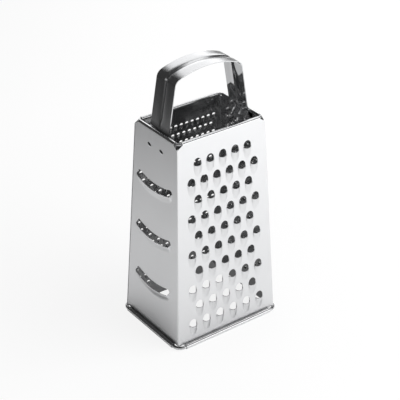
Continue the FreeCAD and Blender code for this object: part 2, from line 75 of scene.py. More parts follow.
@dataclass(frozen=True)
class NodeBench:
    """A bench where the nodes of one material, or of the surroundings, are laid out and joined."""

    tree: bpy.types.NodeTree

    def add(self, kind: str) -> bpy.types.Node:
        """Lay out one node of a kind."""
        return self.tree.nodes.new("ShaderNode" + kind)

    def feed(self, socket: Socket, value: Feed) -> None:
        """Join another node's output to an input, or set the input itself.

        Args:
            socket: The input to feed.
            value: An output socket, or a constant.
        """
        if isinstance(value, Socket):
            self.tree.links.new(value, socket)
        else:
            socket.default_value = value

    def number(self, operation: str, *values: Feed) -> Socket:
        """Work out a number from other numbers.

        Args:
            operation: The operation of the Math node.
            values: What goes into it, in order.

        Returns:
            The output with the number.
        """
        node = self.add("Math")
        node.operation = operation
        for socket, value in zip(node.inputs, values):
            self.feed(socket, value)
        return node.outputs["Value"]

    def vector(self, operation: str, output: str, *values: Feed) -> Socket:
        """Work out a vector or a number from vectors.

        Args:
            operation: The operation of the Vector Math node.
            output: The name of the output that is wanted.
            values: What goes into it, in order.

        Returns:
            That output.
        """
        node = self.add("VectorMath")
        node.operation = operation
        for socket, value in zip(node.inputs, values):
            self.feed(socket, value)
        return node.outputs[output]

    def height(self, vector: Socket) -> Socket:
        """Take the upward part of a vector.

        Args:
            vector: The output with the vector.

        Returns:
            The output with its Z.
        """
        parts = self.add("SeparateXYZ")
        self.feed(parts.inputs["Vector"], vector)
        return parts.outputs["Z"]

    def ramp(self, value: Socket, start: float, end: float, low: float = 0.0, high: float = 1.0,
             smooth: bool = False) -> Socket:
        """Map a number from one range to another, and hold it at both ends.

        Args:
            value: The output with the number.
            start: Where the ramp starts.
            end: Where the ramp ends.
            low: The result up to the start.
            high: The result from the end on.
            smooth: Whether the ramp is eased at both ends.

        Returns:
            The output with the mapped number.
        """
        node = self.add("MapRange")
        node.interpolation_type = "SMOOTHSTEP" if smooth else "LINEAR"
        names = ("Value", "From Min", "From Max", "To Min", "To Max")
        for name, given in zip(names, (value, start, end, low, high)):
            self.feed(node.inputs[name], given)
        return node.outputs["Result"]

    def noise(self, place: Socket, scale: float, detail: float) -> Socket:
        """Lay out a noise pattern.

        Args:
            place: The output with the coordinates.
            scale: The scale of the pattern.
            detail: How many finer layers it has.

        Returns:
            The output with the pattern.
        """
        node = self.add("TexNoise")
        self.feed(node.inputs["Vector"], place)
        node.inputs["Scale"].default_value = scale
        node.inputs["Detail"].default_value = detail
        return node.outputs["Fac"]

    def mirrored(self, path: bpy.types.Node) -> Socket:
        """Return the output that is 1 where metal or glass looks on."""
        return self.number("MAXIMUM", path.outputs["Is Glossy Ray"], path.outputs["Is Transmission Ray"])


@dataclass(frozen=True)
class SteelFinish:
    """A procedural stainless finish: fine brushing along one axis, faint cloudy patches, and painted shade
    that can darken the inner faces.
    """

    name: str
    slot: str
    colour: Triple
    roughness: float
    inner_roughness: float
    spread: float
    brush_scale: Triple
    bump: float
    shiny_beads: bool = False
    # Share of the colour left on inner faces: painted shade that darkens the inside of the grater.
    inner_shade_share: float = 1.0
    noise_scale: float = 1.0
    brush_detail: float = 3.0
    cloud_scale: float = 45.0
    cloud_detail: float = 2.0
    noise_low: float = 0.6
    noise_high: float = 1.4
    inside_limit: float = -0.02
    outside_limit: float = -0.005
    bead_limit: float = 0.5
    wall_limit: float = 0.2
    relief_height: float = 0.0001

    def outside(self, bench: NodeBench, place: Socket, normal: Socket) -> Socket:
        """Find the faces that look away from the grater's middle.

        Args:
            bench: Where the nodes are laid out.
            place: The output with the object coordinates.
            normal: The output with the faces' normals.

        Returns:
            The output that is 1 on outer faces and 0 on inner ones.
        """
        flat_place = bench.vector("MULTIPLY", "Vector", place, (1.0, 1.0, 0.0))
        outward = bench.vector("DOT_PRODUCT", "Value", flat_place, normal)
        return bench.ramp(outward, self.inside_limit, self.outside_limit)

    def walls(self, bench: NodeBench, normal: Socket) -> Socket:
        """Find the faces that keep the satin: all of them, or those that don't look up from a bead.

        Args:
            bench: Where the nodes are laid out.
            normal: The output with the faces' normals.

        Returns:
            The output that is 1 on such faces.
        """
        bead_share = 0.0 if self.shiny_beads else 1.0
        return bench.ramp(bench.height(normal), self.bead_limit, self.wall_limit, bead_share)

    def set_colour(self, bench: NodeBench, target: Socket, outside: Socket) -> None:
        """Set the colour, with painted shade that darkens the inner faces where the finish says so.

        Args:
            bench: Where the nodes are laid out.
            target: The shader's colour.
            outside: The output that is 1 on outer faces.
        """
        target.default_value = (*self.colour, 1.0)
        if self.inner_shade_share == 1.0:
            return
        # Painted shade: inner faces get a darker copy of the steel colour.
        inner_shade_mix = bench.add("Mix")
        inner_shade_mix.data_type = "RGBA"
        inner_shade_mix.inputs["A"].default_value = (*(value * self.inner_shade_share for value in self.colour), 1.0)
        inner_shade_mix.inputs["B"].default_value = (*self.colour, 1.0)
        bench.feed(inner_shade_mix.inputs["Factor"], outside)
        bench.feed(target, inner_shade_mix.outputs["Result"])

    def material(self) -> bpy.types.Material:
        """Build the node material of this finish.

        Returns:
            The new material.
        """
        made = bpy.data.materials.new(self.name)
        made.use_nodes = True
        bench = NodeBench(made.node_tree)
        shader = made.node_tree.nodes["Principled BSDF"]
        shader.inputs["Metallic"].default_value = 1.0
        place = bench.add("TexCoord").outputs["Object"]
        normal = bench.add("NewGeometry").outputs["True Normal"]
        outside = self.outside(bench, place, normal)
        satin = bench.number("MULTIPLY", outside, self.walls(bench, normal))
        self.set_colour(bench, shader.inputs["Base Color"], outside)
        stretch = bench.add("Mapping")
        stretch.inputs["Scale"].default_value = self.brush_scale
        bench.feed(stretch.inputs["Vector"], place)
        brush = bench.noise(stretch.outputs["Vector"], self.noise_scale, self.brush_detail)
        cloud = bench.noise(place, self.cloud_scale, self.cloud_detail)
        both = bench.number("ADD", brush, cloud)
        uneven = bench.ramp(both, self.noise_low, self.noise_high, -self.spread, self.spread)
        dull = bench.ramp(satin, 0.0, 1.0, self.inner_roughness, self.roughness)
        bench.feed(shader.inputs["Roughness"], bench.number("ADD", dull, uneven))
        relief = bench.add("Bump")
        relief.inputs["Distance"].default_value = self.relief_height
        bench.feed(relief.inputs["Strength"], bench.number("MULTIPLY", satin, self.bump))
        bench.feed(relief.inputs["Height"], brush)
        bench.feed(shader.inputs["Normal"], relief.outputs["Normal"])
        return made


PANEL_STEEL = SteelFinish(
    name="panel_steel", slot="panel_steel", colour=(0.795, 0.8, 0.81), roughness=0.34, inner_roughness=0.14,
    spread=0.02, brush_scale=(900, 900, 40), bump=0.06, shiny_beads=True, inner_shade_share=0.64)
WIRE_STEEL = SteelFinish(
    name="wire_steel", slot="wire_steel", colour=(0.655, 0.66, 0.67), roughness=0.16, inner_roughness=0.16,
    spread=0.03, brush_scale=(300, 300, 300), bump=0.05)
STRAP_STEEL = SteelFinish(
    name="strap_steel", slot="strap_steel", colour=(0.625, 0.63, 0.64), roughness=0.21, inner_roughness=0.08,
    spread=0.015, brush_scale=(60, 900, 60), bump=0.02)


@dataclass(frozen=True)
class BodyForm:
    """Driving sizes of the grater's body, in metres."""

    base_width: float = 0.100
    base_depth: float = 0.077
    top_width: float = 0.085
    top_depth: float = 0.0575
    height: float = 0.184
    gauge: float = 0.0005
    seat_gap: float = 0.00005
    bend_radius: float = 0.0009
    bend_steps: int = 5
    flange_width: float = 0.005
    top_bead: float = 0.0034
    top_wire: float = 0.002
    top_corner: float = 0.0036
    top_turn: float = math.radians(285)
    notch_width: float = 0.005
    notch_depth: float = 0.005
    base_bead: float = 0.0042
    base_wire: float = 0.0028
    base_corner: float = 0.006
    base_turn: float = math.radians(300)
    base_setback: float = 0.0062
    base_flat: float = 0.00012
    roll_steps: int = 22
    strap_width: float = 0.0245
    foot_end: float = 0.1655

    @property
    def top_level(self) -> float:
        """Height of the top bead's centre."""
        return self.height - self.top_bead / 2

    @property
    def base_level(self) -> float:
        """Height of the base bead's centre."""
        return self.base_bead / 2 - self.base_flat

    @property
    def base_reach(self) -> float:
        """How far the base wire's centre lies outside a panel's outer face."""
        return self.base_bead / 2 - self.gauge

    def lean(self, wide: bool) -> float:
        """Return how far a wide or a narrow panel leans inward, in radians."""
        run = self.base_depth - self.top_depth if wide else self.base_width - self.top_width
        return math.atan(run / 2 / self.height)

    def face_distance(self, wide: bool, level: float) -> float:
        """Return how far a panel's outer face is from the middle at a height."""
        base = self.base_depth if wide else self.base_width
        return base / 2 - level * math.tan(self.lean(wide))

    def top_wire_distance(self, wide: bool) -> float:
        """Return how far the top wire's centre is from the middle on a wide or a narrow side."""
        return self.face_distance(wide, self.top_level) - self.top_bead / 2 / math.cos(self.lean(wide))

    def base_wire_distance(self, wide: bool) -> float:
        """Return how far the base wire's centre is from the middle on a wide or a narrow side."""
        return self.face_distance(wide, self.base_level) + self.base_reach / math.cos(self.lean(wide))

    def foot_distance(self, level: float) -> float:
        """Return how far the outer face of the strap's foot is from the middle at a height."""
        wall = self.gauge / math.cos(self.lean(False)) + self.seat_gap
        return self.face_distance(False, level) - wall


def to_mesh(bm: BMesh, name: str) -> bpy.types.Mesh:
    """Turn a bmesh into a mesh.

    Args:
        bm: The finished shape, which is freed.
        name: The mesh's name.

    Returns:
        The new mesh.
    """
    mesh = bpy.data.meshes.new(name)
    bm.to_mesh(mesh)
    bm.free()
    return mesh


def add_object(name: str, data: bpy.types.ID) -> bpy.types.Object:
    """Add an object to the scene.

    Args:
        name: The object's name.
        data: Its mesh, light or camera.

    Returns:
        The new object.
    """
    made = bpy.data.objects.new(name, data)
    bpy.context.scene.collection.objects.link(made)
    return made


def finish_piece(bm: BMesh, node: str,
                 material: bpy.types.Material) -> bpy.types.Object:
    """Turn a bmesh into a piece that stands for a CAD node.

    Args:
        bm: The finished shape in the row frame, which is freed.
        node: The CAD node that the piece stands for.
        material: The material of that finish.

    Returns:
        The new object.
    """
    for edge in bm.edges:
        edge.smooth = edge.calc_face_angle(0.0) < SHARP_ANGLE
    mesh = to_mesh(bm, node + "_skin")
    mesh.materials.append(material)
    piece = add_object(node + "_skin", mesh)
    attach(piece, BODY)
    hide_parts(node)
    LOG.info("%s: %d faces", piece.name, len(mesh.polygons))
    return piece


def shade_smooth(bm: BMesh) -> None:
    """Shade every face of a mesh as part of a rounded surface."""
    for face in bm.faces:
        face.smooth = True


def new_parts(made: dict, kind: type) -> list:
    """Return the vertices, edges or faces that an operator has made.

    Args:
        made: The operator's result.
        kind: The bmesh type wanted.

    Returns:
        The new elements of that type.
    """
    found = made.get("geom") or made.get("geom_last")
    return [item for item in found if isinstance(item, kind)]


def polyline(bm: BMesh, points: list[Vector], closed: bool = False) -> list[BMEdge]:
    """Draw a run of edges through a few points.

    Args:
        bm: The mesh to draw in.
        points: The points in order.
        closed: Whether the last point joins the first.

    Returns:
        The edges in order.
    """
    verts = [bm.verts.new(point) for point in points]
    ends = verts[1:] + verts[:1] if closed else verts[1:]
    return [bm.edges.new(pair) for pair in zip(verts, ends)]


def extrude_line(bm: BMesh, edges: list[BMEdge]) -> tuple[list[BMVert], list[BMEdge]]:
    """Extrude a line of edges, with the new line still in the old place.

    Args:
        bm: The mesh to work on.
        edges: The line.

    Returns:
        The vertices and the edges of the new line.
    """
    made = bmesh.ops.extrude_edge_only(bm, edges=edges)
    return new_parts(made, BMVert), new_parts(made, BMEdge)


def spin_line(bm: BMesh, edges: list[BMEdge], centre: Vector, axis: Vector,
              angle: float, steps: int) -> list[BMEdge]:
    """Sweep a line of edges round an axis.

    Args:
        bm: The mesh to work on.
        edges: The line.
        centre: A point on the axis.
        axis: The direction of the axis.
        angle: How far to turn, in radians.
        steps: How many steps the turn has.

    Returns:
        The line at the end of the turn.
    """
    verts = list({vert for edge in edges for vert in edge.verts})
    made = bmesh.ops.spin(bm, geom=verts + edges, cent=centre, axis=axis, angle=angle, steps=steps)
    return new_parts(made, BMEdge)


def runs_between(edge: BMEdge, start: Vector, end: Vector) -> bool:
    """Tell whether an edge runs from one point to another, either way round.

    Args:
        edge: The edge to test.
        start: One point.
        end: The other point.

    Returns:
        Whether its two ends are those points.
    """
    ends = [vert.co for vert in edge.verts]
    return any((one - start).length < MERGE_DISTANCE and (other - end).length < MERGE_DISTANCE
               for one, other in (ends, reversed(ends)))


class PressedForm:
    """A lip pressed out of a panel below an opening, with x across, y up the panel and z outward."""

    rows: int = 6

    def stations(self) -> list[float]:
        """Return the places over the mouth, from its right end to its left."""
        raise NotImplementedError

    def lip_point(self, station: float, down_share: float) -> Vector:
        """Return a point of the pressed skin.

        Args:
            station: The place over the mouth.
            down_share: Share of the way from the mouth to where the skin is flat again.

        Returns:
            The point.
        """
        raise NotImplementedError

    def hole_edge(self) -> list[Vector]:
        """Return the opening's upper edge from the right end of the mouth to its left."""
        raise NotImplementedError

    def template(self) -> bpy.types.Mesh:
        """Build the lip's skin and the loose edge of its opening.

        Returns:
            A mesh to copy into a panel.
        """
        bm = bmesh.new()
        stations = self.stations()
        ring = polyline(bm, [self.lip_point(station, 0.0) for station in stations])
        for row in range(1, self.rows + 1):
            verts, ring = extrude_line(bm, ring)
            verts.sort(key=lambda vert: -vert.co.x)
            for vert, station in zip(verts, stations):
                vert.co = self.lip_point(station, row / self.rows)
        polyline(bm, self.hole_edge())
        bmesh.ops.remove_doubles(bm, verts=bm.verts[:], dist=MERGE_DISTANCE)
        return to_mesh(bm, "form_template")


@dataclass(frozen=True)
class RaisedTooth(PressedForm):
    """A shredding tooth or a clinch mark: an oval hole whose lower rim is pushed out into a scoop."""

    width: float
    top: float
    waist: float
    sag: float
    lift: float
    length: float
    columns: int = 10
    rows: int = 6
    hole_power: float = 0.85
    toe_power: float = 3.0
    lift_power: float = 1.3
    lip_crown_power: float = 1.1
    toe_crown_power: float = 2.6

    def stations(self) -> list[float]:
        """Return angles over the mouth."""
        return [math.pi * step / self.columns for step in range(self.columns + 1)]

    def lip_point(self, station: float, down_share: float) -> Vector:
        """Return a point of the scoop, which ends in a blunt round toe.

        Args:
            station: The angle over the mouth.
            down_share: Share of the way from the mouth to the toe.

        Returns:
            The point.
        """
        turn = QUARTER_TURN * down_share
        half = self.width / 2 * math.cos(turn)
        run_share = math.sin(turn) ** (2 / self.toe_power)
        level = (self.waist - self.sag * math.sin(station)) * (1 - run_share) - self.length * run_share
        crown = self.lip_crown_power + (self.toe_crown_power - self.lip_crown_power) * run_share
        rise = self.lift * (1 - run_share) ** self.lift_power * abs(math.sin(station)) ** crown
        return Vector((half * math.cos(station), level, rise))

    def hole_edge(self) -> list[Vector]:
        """Return the upper half of the oval hole.

        Returns:
            The points from right to left.
        """
        points = []
        for angle in self.stations():
            climb = (self.top - self.waist) * abs(math.sin(angle)) ** self.hole_power
            points.append(Vector((self.width / 2 * math.cos(angle), self.waist + climb, 0.0)))
        return points


@dataclass(frozen=True)
class SlicerSlot(PressedForm):
    """A smiling slot with round ends, whose lower lip bulges out and fades into the panel."""

    width: float = 0.047
    opening: float = 0.0056
    smile: float = 0.0034
    lift: float = 0.0022
    apron: float = 0.0070
    end_power: float = 0.07
    columns: int = 20
    end_steps: int = 4
    rows: int = 6

    def edge(self, way: int) -> list[Vector]:
        """Return one long edge of the slot with half of each round end, from right to left.

        Args:
            way: 1 for the upper edge and -1 for the lower.

        Returns:
            The points.
        """
        radius = self.opening / 2
        reach = self.width / 2 - radius
        middle = self.smile + radius
        turns = [QUARTER_TURN * step / self.end_steps for step in range(self.end_steps)]
        right = [Vector((reach + radius * math.cos(turn), middle + way * radius * math.sin(turn), 0.0))
                 for turn in turns]
        shares = [1 - 2 * step / self.columns for step in range(self.columns + 1)]
        long = [Vector((reach * share, self.smile * share ** 2 + radius * (1 + way), 0.0))
                for share in shares]
        left = [Vector((-point.x, point.y, 0.0)) for point in reversed(right)]
        return right + long + left

    def stations(self) -> list[float]:
        """Return numbers of the points along the lip."""
        return list(range(len(self.edge(-1))))

    def lip_point(self, station: float, down_share: float) -> Vector:
        """Return a point of the bulge, which keeps its width along the slot and closes at both ends.

        Args:
            station: The number of the point along the lip.
            down_share: Share of the way from the lip to the foot of the apron.

        Returns:
            The point.
        """
        start = self.edge(-1)[int(station)]
        inward_share = max(0.0, 1 - (start.x / (self.width / 2)) ** 2 - ROUND_OFF)
        swell_share = inward_share ** self.end_power
        end_level = self.smile + self.opening / 2
        foot = end_level + (start.y - self.apron - end_level) * swell_share
        rise = self.lift * swell_share * (1 + math.cos(math.pi * down_share)) / 2
        return Vector((start.x, start.y + (foot - start.y) * down_share, rise))

    def hole_edge(self) -> list[Vector]:
        """Return the upper edge of the slot."""
        return self.edge(1)


@dataclass(frozen=True)
class Burr:
    """A zesting hole punched outward from within, with a ragged raised rim."""

    base: float = 0.0046
    hole: float = 0.0024
    lift: float = 0.0011
    petals: int = 4
    shoulder_share: float = 0.7
    shoulder_lift_share: float = 0.35
    ragged_share: float = 0.25

    def template(self) -> bpy.types.Mesh:
        """Build the raised skin of one burr.

        Returns:
            A mesh to copy into a panel.
        """
        bm = bmesh.new()
        made = bmesh.ops.create_circle(bm, segments=2 * self.petals, radius=self.base / 2)
        ring = list({edge for vert in made["verts"] for edge in vert.link_edges})
        shoulder = (self.shoulder_share, self.shoulder_lift_share, 0.0)
        rim = (self.hole / self.base, 1.0, self.ragged_share)
        for reach_share, lift_share, ragged_share in (shoulder, rim):
            verts, ring = extrude_line(bm, ring)
            for vert in verts:
                spoke = math.atan2(vert.co.y, vert.co.x) * self.petals
                vert.co = vert.co.normalized() * (self.base / 2 * reach_share)
                vert.co.z = self.lift * lift_share * (1 + ragged_share * math.cos(spoke))
        return to_mesh(bm, "burr_template")


@dataclass(frozen=True)
class Field:
    """A staggered field that narrows with its panel, lowest row first."""

    rows: int
    columns: int
    pitch: float
    row_pitch: float
    start: float

    def places(self, width_share: Callable[[float], float]) -> list[Vector]:
        """Return where the field's forms lie on the panel.

        Args:
            width_share: The panel's width at a height, as a share of its base width.

        Returns:
            The places in the panel's own plane.
        """
        found = []
        for row in range(self.rows):
            level = self.start + row * self.row_pitch
            count = self.columns - row % 2
            step = self.pitch * width_share(level)
            found += [Vector(((column - (count - 1) / 2) * step, level, 0.0)) for column in range(count)]
        return found


@dataclass(frozen=True)
class ClinchPair:
    """The two slanted marks where a foot of the strap is clinched to a narrow panel."""

    mark: RaisedTooth = RaisedTooth(width=0.0052, top=0.0011, waist=0.0, sag=0.0004, lift=0.0007,
                                    length=0.0022, columns=6, rows=3)
    half_spread: float = 0.008
    level: float = 0.1697
    turn: float = math.radians(-22)

    def places(self) -> list[Vector]:
        """Return where the marks lie on the panel."""
        return [Vector((way * self.half_spread, self.level, 0.0)) for way in (-1, 1)]


@dataclass
class Panel:
    """One stamped panel, made as a single skin that is given the sheet's gauge at the end."""

    form: BodyForm
    side: Side
    node: str

    @property
    def lean(self) -> float:
        """How far the panel leans inward, in radians."""
        return self.form.lean(self.side.wide)

    @property
    def base_width(self) -> float:
        """Width of the panel's face at the base."""
        return self.form.base_width if self.side.wide else self.form.base_depth

    @property
    def top_width(self) -> float:
        """Width of the panel's face at the top."""
        return self.form.top_width if self.side.wide else self.form.top_depth

    @property
    def matrix(self) -> Matrix:
        """The turn and move from the panel's own plane to the row frame.

        Returns:
            The matrix.
        """
        out = self.form.face_distance(self.side.wide, 0.0)
        turn = Matrix.Rotation(math.radians(self.side.value), 4, "Z")
        tilt = Matrix.Rotation(QUARTER_TURN - self.lean, 4, "X")
        return turn @ Matrix.Translation((0.0, -out, 0.0)) @ tilt

    @property
    def edge_inset(self) -> float:
        """How far the flat face ends inside the panel's nominal edge.

        Returns:
            The distance, which only a folded panel has.
        """
        if self.side.wide:
            return 0.0
        seam = self.form.gauge / math.cos(self.form.lean(True)) + self.form.seat_gap
        return seam + self.form.bend_radius

    @property
    def base_line(self) -> float:
        """Where the base roll starts, up the slope."""
        return (self.form.base_level - self.form.base_reach * math.sin(self.lean)) / math.cos(self.lean)

    @property
    def top_line(self) -> float:
        """Where the top roll starts, up the slope."""
        reach = self.form.top_bead / 2
        return (self.form.top_level + reach * math.sin(self.lean)) / math.cos(self.lean)

    def width_share(self, level: float) -> float:
        """Return the width at a height up the slope, as a share of the base width."""
        fall = (self.base_width - self.top_width) * math.cos(self.lean) / self.form.height
        return 1 - level * fall / self.base_width

    def edge_point(self, level: float) -> Vector:
        """Return where the flat face's right edge is at a height up the slope."""
        return Vector((self.base_width / 2 * self.width_share(level) - self.edge_inset, level, 0.0))

    def outline(self) -> list[Vector]:
        """Work out the corners of the flat face.

        Returns:
            The corners from the base roll's right end round to its left.
        """
        form = self.form
        tip = (form.base_level + form.base_wire / 2 + form.seat_gap) / math.cos(self.lean)
        notch = self.top_line + form.top_bead / 2 - form.notch_depth
        base_end = self.base_width / 2 - form.base_setback
        right = [
            Vector((base_end, self.base_line, 0.0)),
            Vector((base_end, tip, 0.0)),
            self.edge_point(tip),
            self.edge_point(notch),
            Vector((self.top_width / 2 - form.notch_width, self.top_line, 0.0)),
        ]
        return right + [Vector((-point.x, point.y, 0.0)) for point in reversed(right)]

    def stamp(self, bm: BMesh) -> None:
        """Add the panel's pressed forms; a plain panel has none."""

    @staticmethod
    def copy_in(bm: BMesh, mesh: bpy.types.Mesh, places: list[Vector], turn: float = 0.0) -> None:
        """Copy a pressed form to each of a list of places.

        Args:
            bm: The panel's skin.
            mesh: The form to copy, which is then removed.
            places: Where to put it.
            turn: How far to turn it in the panel's plane.
        """
        for place in places:
            known = len(bm.verts)
            bm.from_mesh(mesh)
            bm.verts.ensure_lookup_table()
            move = Matrix.Translation(place) @ Matrix.Rotation(turn, 4, "Z")
            bmesh.ops.transform(bm, matrix=move, verts=bm.verts[known:])
        bpy.data.meshes.remove(mesh)

    def flat_edges(self, bm: BMesh) -> list[BMEdge]:
        """Return the open edges that lie in the plane of the flat face."""
        return [edge for edge in bm.edges if len(edge.link_faces) < 2
                and all(abs(vert.co.z) < ON_PLANE for vert in edge.verts)]

    def roll(self, bm: BMesh, line: float, centre: float, turn: float) -> None:
        """Roll the edge along one line round a wire.

        Args:
            bm: The panel's skin.
            line: Where the edge lies, up the slope.
            centre: How far out the wire's centre is from the face.
            turn: The angle of the roll.
        """
        edges = [edge for edge in self.flat_edges(bm)
                 if all(abs(vert.co.y - line) < ON_PLANE for vert in edge.verts)]
        spin_line(bm, edges, Vector((0.0, line, centre)), Vector((1.0, 0.0, 0.0)), turn,
                  self.form.roll_steps)

    def fold(self, bm: BMesh) -> None:
        """Fold a flange inward along both slanted edges of a narrow panel.

        Args:
            bm: The panel's skin.
        """
        form = self.form
        corners = self.outline()
        for low, high, way in ((corners[2], corners[3], 1), (corners[-3], corners[-4], -1)):
            edges = [edge for edge in self.flat_edges(bm) if runs_between(edge, low, high)]
            axis = (high - low).normalized()
            centre = low - Vector((0.0, 0.0, form.bend_radius))
            last = spin_line(bm, edges, centre, axis, way * QUARTER_TURN, form.bend_steps)
            verts, _ = extrude_line(bm, last)
            drop = form.flange_width - form.bend_radius
            bmesh.ops.translate(bm, verts=verts, vec=(0.0, 0.0, -drop))

    def build(self, finish: SteelFinish, material: bpy.types.Material) -> bpy.types.Object:
        """Build the panel.

        Args:
            finish: The panel's finish; not used.
            material: The material of that finish.

        Returns:
            The panel's piece.
        """
        form = self.form
        bm = bmesh.new()
        polyline(bm, self.outline(), closed=True)
        self.stamp(bm)
        filled = bmesh.ops.triangle_fill(bm, use_beauty=True, edges=self.flat_edges(bm),
                                         normal=(0.0, 0.0, 1.0))
        flat_faces = new_parts(filled, BMFace)
        self.roll(bm, self.top_line, -form.top_bead / 2, -form.top_turn)
        self.roll(bm, self.base_line, form.base_reach, -form.base_turn)
        if not self.side.wide:
            self.fold(bm)
        bmesh.ops.recalc_face_normals(bm, faces=bm.faces[:])
        if flat_faces[0].normal.z < 0:
            bmesh.ops.reverse_faces(bm, faces=bm.faces[:])
        shade_smooth(bm)
        for face in flat_faces:
            face.smooth = False
        bmesh.ops.solidify(bm, geom=bm.faces[:], thickness=form.gauge)
        bmesh.ops.transform(bm, matrix=self.matrix, verts=bm.verts[:])
        return finish_piece(bm, self.node, material)


@dataclass
class CoarsePanel(Panel):
    """The front panel with its coarse shredding teeth."""

    field: Field = Field(rows=10, columns=6, pitch=0.0140, row_pitch=0.0160, start=0.0174)
    tooth: RaisedTooth = RaisedTooth(width=0.0075, top=0.0066, waist=0.0015, sag=0.0010, lift=0.0024,
                                     length=0.0095)

    def stamp(self, bm: BMesh) -> None:
        """Press the coarse teeth."""
        self.copy_in(bm, self.tooth.template(), self.field.places(self.width_share))


@dataclass
class FinePanel(Panel):
    """The back panel with its fine shredding teeth."""

    field: Field = Field(rows=19, columns=14, pitch=0.0063, row_pitch=0.0081, start=0.0170)
    tooth: RaisedTooth = RaisedTooth(width=0.0034, top=0.0026, waist=0.0008, sag=0.0008, lift=0.0011,
                                     length=0.0038, columns=6, rows=3)

    def stamp(self, bm: BMesh) -> None:
        """Press the fine teeth."""
        self.copy_in(bm, self.tooth.template(), self.field.places(self.width_share))


@dataclass
class SlicerPanel(Panel):
    """The left panel with its three slicing slots."""

    count: int = 3
    start: float = 0.0413
    pitch: float = 0.0457
    slot: SlicerSlot = SlicerSlot()
    clinches: ClinchPair = ClinchPair()

    def stamp(self, bm: BMesh) -> None:
        """Press the slots and the clinch marks of the strap's foot.

        Args:
            bm: The panel's skin.
        """
        places = [Vector((0.0, self.start + number * self.pitch, 0.0)) for number in range(self.count)]
        self.copy_in(bm, self.slot.template(), places)
        self.copy_in(bm, self.clinches.mark.template(), self.clinches.places(), self.clinches.turn)


@dataclass
class ZesterPanel(Panel):
    """The right panel with its zesting burrs."""

    field: Field = Field(rows=30, columns=5, pitch=0.0138, row_pitch=0.0050, start=0.0230)
    burr: Burr = Burr()
    clinches: ClinchPair = ClinchPair()

    def stamp(self, bm: BMesh) -> None:
        """Press the burrs, save those that the strap's foot would cover, and the clinch marks.

        Args:
            bm: The panel's skin.
        """
        places = [place for place in self.field.places(self.width_share)
                  if place.y + self.burr.hole / 2 < self.form.foot_end
                  or abs(place.x) - self.burr.hole / 2 > self.form.strap_width / 2]
        self.copy_in(bm, self.burr.template(), places)
        self.copy_in(bm, self.clinches.mark.template(), self.clinches.places(), self.clinches.turn)


@dataclass
class RimWire:
    """A rectangular ring of round wire inside the rolled edges."""

    node: str
    half_x: float
    half_y: float
    level: float
    thickness: float
    corner: float
    sides: int = 16
    corner_steps: int = 8

    def build(self, finish: SteelFinish, material: bpy.types.Material) -> bpy.types.Object:
        """Sweep a round section along the four runs and corners.

        Args:
            finish: The wire's finish; not used.
            material: The material of that finish.

        Returns:
            The wire's piece.
        """
        bm = bmesh.new()
        start = Matrix.Translation((self.half_x - self.corner, -self.half_y, self.level))
        section = start @ Matrix.Rotation(QUARTER_TURN, 4, "Y")
        made = bmesh.ops.create_circle(bm, segments=self.sides, radius=self.thickness / 2, matrix=section)
        verts = made["verts"]
        for number in range(4):
            edges = [edge for edge in bm.edges if all(vert in verts for vert in edge.verts)]
            turn = Matrix.Rotation(number * QUARTER_TURN, 4, "Z")
            half_x, half_y = (self.half_x, self.half_y) if number % 2 == 0 else (self.half_y, self.half_x)
            centre = turn @ Vector((half_x - self.corner, self.corner - half_y, self.level))
            edges = spin_line(bm, edges, centre, Vector((0.0, 0.0, 1.0)), QUARTER_TURN, self.corner_steps)
            verts, _ = extrude_line(bm, edges)
            along = turn @ Vector((0.0, 2 * (half_y - self.corner), 0.0))
            bmesh.ops.translate(bm, verts=verts, vec=along)
        bmesh.ops.remove_doubles(bm, verts=bm.verts[:], dist=MERGE_DISTANCE)
        bmesh.ops.recalc_face_normals(bm, faces=bm.faces[:])
        shade_smooth(bm)
        return finish_piece(bm, self.node, material)


